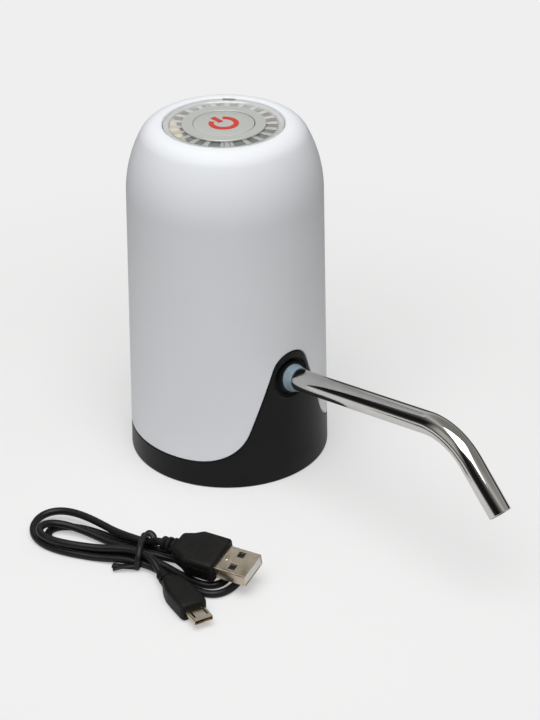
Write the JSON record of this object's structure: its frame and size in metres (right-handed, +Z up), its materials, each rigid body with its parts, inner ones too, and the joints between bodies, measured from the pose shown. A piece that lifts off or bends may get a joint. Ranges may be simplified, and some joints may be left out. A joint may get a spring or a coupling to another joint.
{
  "type": "electric water jug pump",
  "caption": "Battery water pump that sits on a jug neck, with a bent steel spout, a lit push button, a gear pump inside and a charging lead tied in a hank.",
  "frame": {"origin": "middle of the neck socket's mouth, level with the foot", "axes": "+Z up along the body, +X the way the spout leans out"},
  "size_m": [0.1803, 0.1338, 0.128],
  "materials": {
    "white_shell": "satin gloss white",
    "black_base": "satin black",
    "white_inner": "moulded white",
    "steel": "polished stainless steel",
    "silicone": "translucent blue-grey silicone",
    "hose": "clear silicone",
    "clear_ring": "clear faceted plastic",
    "silver_trim": "satin silver paint",
    "orange_mark": "printed",
    "board_green": "solder mask",
    "black_chip": "moulded black",
    "led": "clear yellow lens",
    "ivory": "acetal",
    "screw_steel": "zinc plated",
    "cell_wrap": "blue shrink sleeve",
    "wire_red": "insulation",
    "wire_black": "insulation",
    "magnet": "sintered ferrite",
    "copper": "wound copper on laminations",
    "bronze": "sintered",
    "seal_rubber": "matt",
    "cord_black": "soft matt",
    "tie_black": "thin strip",
    "plug_black": "fine matt",
    "plug_steel": "nickel plated",
    "plug_white": "moulded white",
    "plug_insert": "moulded black"
  },
  "bodies": {
    "pump": {"outer_shell": "white_shell", "base_collar": "black_base", "inner_frame": "white_inner", "outlet_socket": "white_inner", "outlet_hose": "hose", "inlet_nipple": "white_inner", "inlet_hose": "hose", "light_ring": "clear_ring", "trim_disc": "silver_trim", "panel_carrier": "white_inner", "control_board": "board_green", "board_chips": "black_chip", "indicator_leds": "led", "tact_switch": "black_chip", "board_screws": "screw_steel", "battery_cell": "cell_wrap", "cell_cap": "screw_steel", "cell_tabs": "screw_steel", "battery_leads": "wire_red", "motor_can": "screw_steel", "motor_end_cap": "black_chip", "motor_magnets": "magnet", "motor_bushes": "bronze", "motor_terminals": "bronze", "motor_leads": "wire_black", "pump_body": "white_inner", "pump_cover": "white_inner", "idler_pin": "screw_steel", "shaft_seal": "seal_rubber", "pump_screws": "screw_steel", "charge_board": "board_green", "charge_socket": "screw_steel", "charge_leads": "wire_black", "base_screws": "screw_steel", "frame_screws": "screw_steel"},
    "button": {"power_button": "silver_trim", "power_mark": "orange_mark"},
    "plunger": {"switch_plunger": "ivory"},
    "sleeve": {"spout_sleeve": "silicone"},
    "spout": {"spout_tube": "steel"},
    "rotor": {"motor_shaft": "screw_steel", "motor_armature": "copper", "drive_gear": "ivory"},
    "idler": {"idler_gear": "ivory"},
    "lead": {"cable_hank": "cord_black", "cable_tail_a": "cord_black", "cable_tail_b": "cord_black", "cable_tie": "tie_black", "plug_a_relief": "plug_black", "plug_a_grip": "plug_black", "plug_a_shell": "plug_steel", "plug_a_tongue": "plug_white", "plug_b_relief": "plug_black", "plug_b_grip": "plug_black", "plug_b_shell": "plug_steel", "plug_b_tongue": "plug_insert"}
  },
  "joints": [
    {"name": "button_press", "type": "slide", "parent": "pump", "child": "button", "axis": [0, 0, -1], "range_m": [0, 0.0006], "stiffness_N_per_m": 1500, "springref_m": -0.0003},
    {"name": "plunger_press", "type": "slide", "parent": "pump", "child": "plunger", "axis": [0, 0, -1], "range_m": [0, 0.0006]},
    {"name": "spout_pull", "type": "slide", "parent": "pump", "child": "sleeve", "axis": [0.9833, 0, 0.1822], "range_m": [0, 0.04]},
    {"name": "spout_swivel", "type": "hinge", "parent": "sleeve", "child": "spout", "pos_m": [0.0359, 0, 0.0411], "axis": [0.9833, 0, 0.1822], "continuous": true},
    {"name": "motor_spin", "type": "hinge", "parent": "pump", "child": "rotor", "pos_m": [-0.0055, 0.005, 0.08], "axis": [0, 0, 1], "continuous": true},
    {"name": "idler_spin", "type": "hinge", "parent": "pump", "child": "idler", "pos_m": [-0.0055, -0.005, 0.0625], "axis": [0, 0, 1], "continuous": true},
    {"name": "lead_apart", "type": "slide", "parent": "pump", "child": "lead", "axis": [0.506, -0.8625, 0], "range_m": [0, 0.1]}
  ],
  "couplings": [
    {"joint": "plunger_press", "follows": "button_press", "ratio": 1},
    {"joint": "idler_spin", "follows": "motor_spin", "ratio": -1}
  ]
}
